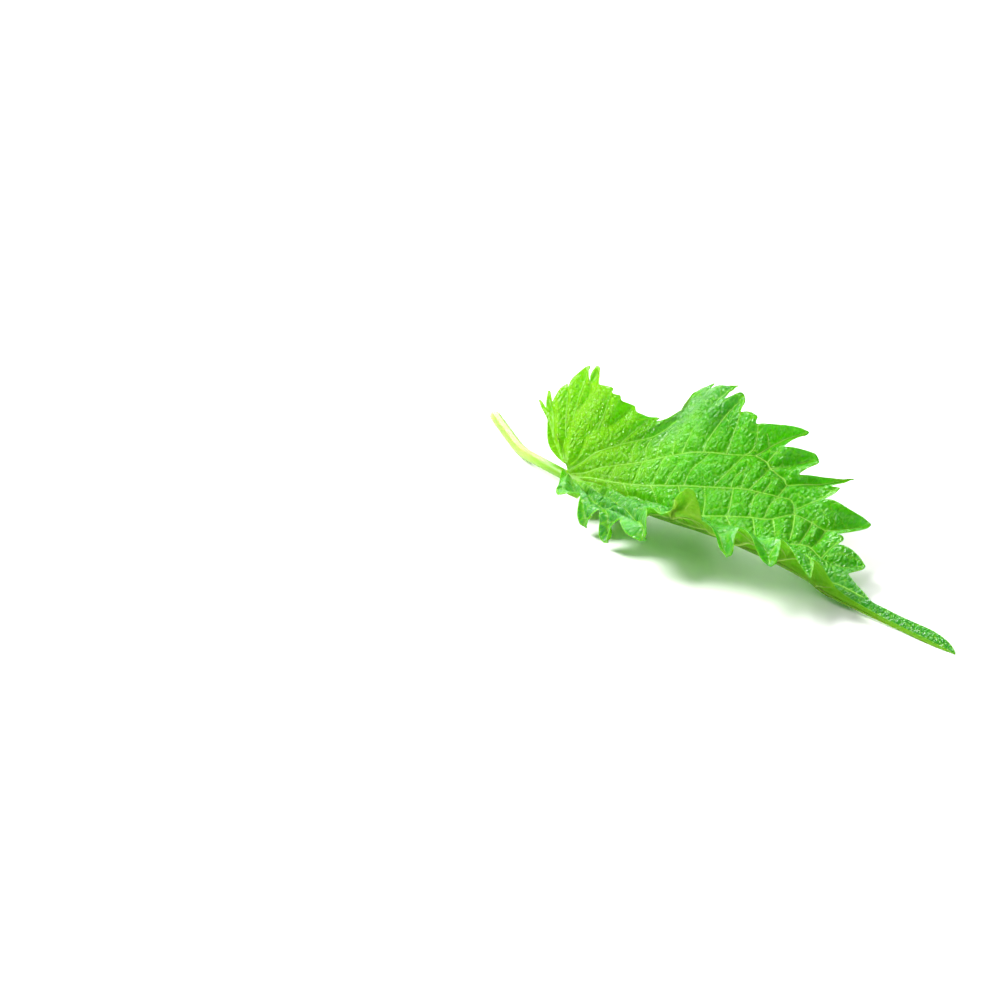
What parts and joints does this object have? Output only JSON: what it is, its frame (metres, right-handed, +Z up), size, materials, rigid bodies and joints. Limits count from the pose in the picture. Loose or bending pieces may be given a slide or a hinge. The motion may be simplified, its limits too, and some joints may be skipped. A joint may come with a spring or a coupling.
{
  "type": "green shiso leaf",
  "caption": "Fresh shiso leaf with its stalk, a culinary herb: the saw-toothed blade is waved, folded along the midrib and drawn out to a long tip. It lies loose on a table.",
  "frame": {"origin": "bottom centre of the bounding box, on the table the leaf lies on", "axes": "+X along the midrib from the foot of the blade to its tip (longest extent); +Z up from the table, the side the upper face looks to (shortest extent); +Y completes the right hand, to the left of the midrib seen from above"},
  "size_m": [0.1325, 0.0486, 0.0246],
  "materials": {
    "leaf_green": null
  },
  "bodies": {
    "root": {"leaf": "leaf_green"}
  },
  "joints": []
}
